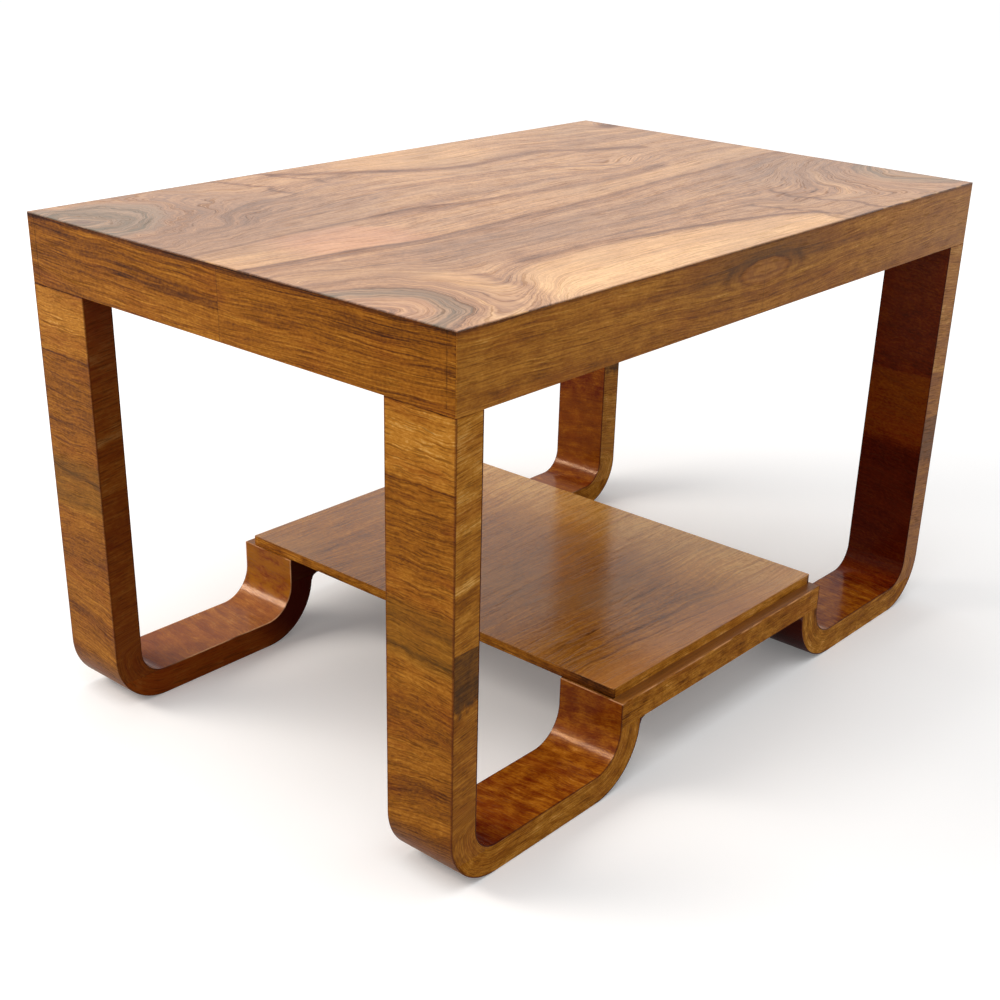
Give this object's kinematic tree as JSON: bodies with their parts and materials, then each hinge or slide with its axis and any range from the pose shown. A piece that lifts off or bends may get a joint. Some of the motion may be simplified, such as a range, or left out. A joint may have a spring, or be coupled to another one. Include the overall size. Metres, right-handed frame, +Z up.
{
  "type": "two-tier occasional table",
  "caption": "Low veneered walnut table with a deep box top on broad flat legs that bend into feet and rise to carry a thin lower shelf.",
  "frame": {"origin": "on the floor, under the middle of the table", "axes": "+X along the length, +Y from front to back across the depth, +Z up"},
  "size_m": [0.8, 0.52, 0.484],
  "materials": {
    "walnut_top": "satin",
    "walnut_apron": "satin",
    "walnut_leg": "satin",
    "walnut_inner": "gloss",
    "walnut_edge": "satin",
    "walnut_shelf": "gloss",
    "stained_beech": "satin",
    "beech": "raw",
    "pine": "raw",
    "blockboard": "raw",
    "screw_steel": "aged"
  },
  "bodies": {
    "root": {"back_apron": "pine", "back_apron_veneer": "walnut_apron", "back_left_foot": "beech", "back_left_foot_edge_veneer": "walnut_edge", "back_left_glue_block": "pine", "back_left_inner_veneer": "walnut_inner", "back_left_leg": "beech", "back_left_leg_bend": "beech", "back_left_leg_edge_veneer": "walnut_edge", "back_left_leg_outer_veneer": "walnut_leg", "back_left_riser_bend": "beech", "back_rail_edge_veneer": "walnut_edge", "back_right_foot": "beech", "back_right_foot_edge_veneer": "walnut_edge", "back_right_glue_block": "pine", "back_right_inner_veneer": "walnut_inner", "back_right_leg": "beech", "back_right_leg_bend": "beech", "back_right_leg_edge_veneer": "walnut_edge", "back_right_leg_outer_veneer": "walnut_leg", "back_right_riser_bend": "beech", "back_shelf_rail": "stained_beech", "corner_strips": "walnut_apron", "front_apron": "pine", "front_apron_veneer": "walnut_apron", "front_left_foot": "beech", "front_left_foot_edge_veneer": "walnut_edge", "front_left_glue_block": "pine", "front_left_inner_veneer": "walnut_inner", "front_left_leg": "beech", "front_left_leg_bend": "beech", "front_left_leg_edge_veneer": "walnut_edge", "front_left_leg_outer_veneer": "walnut_leg", "front_left_riser_bend": "beech", "front_rail_edge_veneer": "walnut_edge", "front_right_foot": "beech", "front_right_foot_edge_veneer": "walnut_edge", "front_right_glue_block": "pine", "front_right_inner_veneer": "walnut_inner", "front_right_leg": "beech", "front_right_leg_bend": "beech", "front_right_leg_edge_veneer": "walnut_edge", "front_right_leg_outer_veneer": "walnut_leg", "front_right_riser_bend": "beech", "front_shelf_rail": "stained_beech", "left_apron": "pine", "left_apron_veneer": "walnut_apron", "rail_coves": "walnut_edge", "right_apron": "pine", "right_apron_veneer": "walnut_apron", "riser_veneers": "walnut_edge", "shelf_lippings": "walnut_shelf", "shelf_panel": "blockboard", "shelf_screws": "screw_steel", "shelf_veneer": "walnut_shelf", "tenons": "beech", "top_panel": "blockboard", "top_veneer": "walnut_top"}
  },
  "joints": []
}
